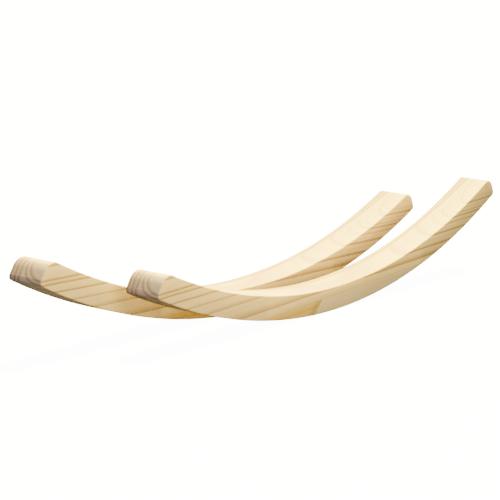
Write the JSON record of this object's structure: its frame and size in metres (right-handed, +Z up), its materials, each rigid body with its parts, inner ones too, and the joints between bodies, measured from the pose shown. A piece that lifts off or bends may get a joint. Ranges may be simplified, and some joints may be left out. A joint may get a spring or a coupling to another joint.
{
  "type": "seesaw rocker runners",
  "caption": "Pair of curved pine rocker runners with rounded ends, on which a seat, cot or board rocks like a seesaw.",
  "frame": {"origin": "on the floor, under the middle of the pair's outline", "axes": "+X along the runners, towards the end that the front runner is moved and rocked to; +Y from the front runner to the rear one; +Z up"},
  "size_m": [0.8696, 0.105, 0.1188],
  "materials": {
    "pine_upper_stave": "planed and sanded pine, unfinished",
    "pine_golden_stave": "planed and sanded pine, unfinished",
    "pine_pale_stave": "planed and sanded pine, unfinished"
  },
  "bodies": {
    "rear_runner": {"rear_runner_upper_stave": "pine_upper_stave", "rear_runner_lower_left_stave": "pine_golden_stave", "rear_runner_lower_right_stave": "pine_pale_stave"},
    "front_runner": {"front_runner_upper_stave": "pine_upper_stave", "front_runner_lower_left_stave": "pine_golden_stave", "front_runner_lower_right_stave": "pine_pale_stave"}
  },
  "joints": [
    {"name": "front_runner_rock", "type": "hinge", "parent": "rear_runner", "child": "front_runner", "pos_m": [0.01078, -0.0325, 0.96], "axis": [0, -1, 0], "range_deg": [-22, 17]}
  ]
}
